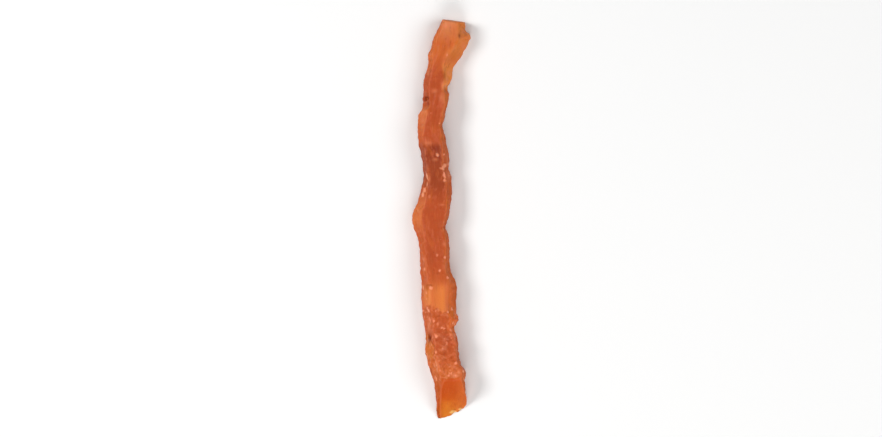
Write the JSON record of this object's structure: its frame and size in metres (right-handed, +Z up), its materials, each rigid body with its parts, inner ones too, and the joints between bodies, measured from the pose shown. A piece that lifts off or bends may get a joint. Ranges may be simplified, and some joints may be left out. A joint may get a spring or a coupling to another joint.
{
  "type": "chicken cat treat",
  "caption": "Slender dried chicken strip with soft bends, a narrow neck, a wider head and a bevelled cut end, lying flat as a cat treat.",
  "frame": {"origin": "middle of the strip's box, on the surface it lies on", "axes": "+Z up, +Y along the strip from the bevelled end to the head, +X to the right when the shown side is seen from above"},
  "size_m": [0.0102, 0.0676, 0.0055],
  "materials": {
    "dried_chicken": "satin, slightly translucent dried meat"
  },
  "bodies": {
    "root": {"chicken_strip": "dried_chicken"}
  },
  "joints": []
}
